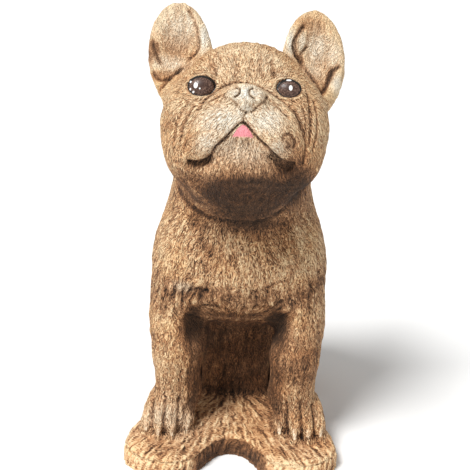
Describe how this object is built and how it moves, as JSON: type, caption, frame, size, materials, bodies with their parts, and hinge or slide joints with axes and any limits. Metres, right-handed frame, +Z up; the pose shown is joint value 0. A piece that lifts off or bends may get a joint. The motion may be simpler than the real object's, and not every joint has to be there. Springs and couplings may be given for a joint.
{
  "type": "bulldog statue",
  "caption": "Seated French bulldog with raised head and upright ears, cast in one piece with its low base.",
  "frame": {"origin": "middle of the box round the statue, on the ground under its base", "axes": "+Z up, the statue's longest way; the dog faces -Y; +X is the dog's left"},
  "size_m": [0.1933, 0.2621, 0.394],
  "materials": {
    "stained_stone": "matt, dark wash in the carving and pale dry-brushed ridges"
  },
  "bodies": {
    "root": {"bulldog_statue": "stained_stone"}
  },
  "joints": []
}
